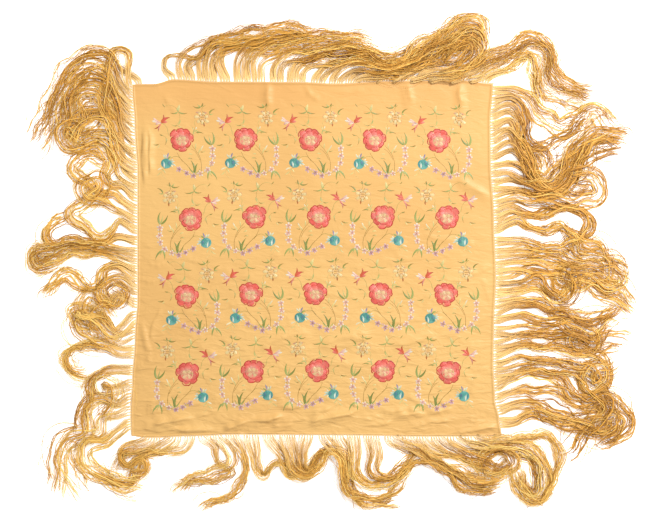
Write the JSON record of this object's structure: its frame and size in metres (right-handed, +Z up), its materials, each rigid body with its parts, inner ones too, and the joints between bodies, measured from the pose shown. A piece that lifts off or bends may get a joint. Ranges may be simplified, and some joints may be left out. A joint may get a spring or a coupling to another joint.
{
  "type": "embroidered silk shawl",
  "caption": "Square silk shawl laid flat, with a rolled hem, all-over floral embroidery and a long knotted fringe on all four sides",
  "frame": {"origin": "centre of the cloth's underside, on the surface that the shawl lies on", "axes": "+X to the right of the picture, along the longer overall side; +Y to its top; +Z up, away from the surface"},
  "size_m": [1.8424, 1.5021, 0.0281],
  "materials": {
    "silk_cloth": "smooth golden apricot silk with a soft sheen and coloured silk embroidery",
    "silk_fringe": "twisted golden silk thread with a soft sheen"
  },
  "bodies": {
    "root": {"panel": "silk_cloth", "fringe_top": "silk_fringe", "fringe_right": "silk_fringe", "fringe_bottom": "silk_fringe", "fringe_left": "silk_fringe"}
  },
  "joints": []
}
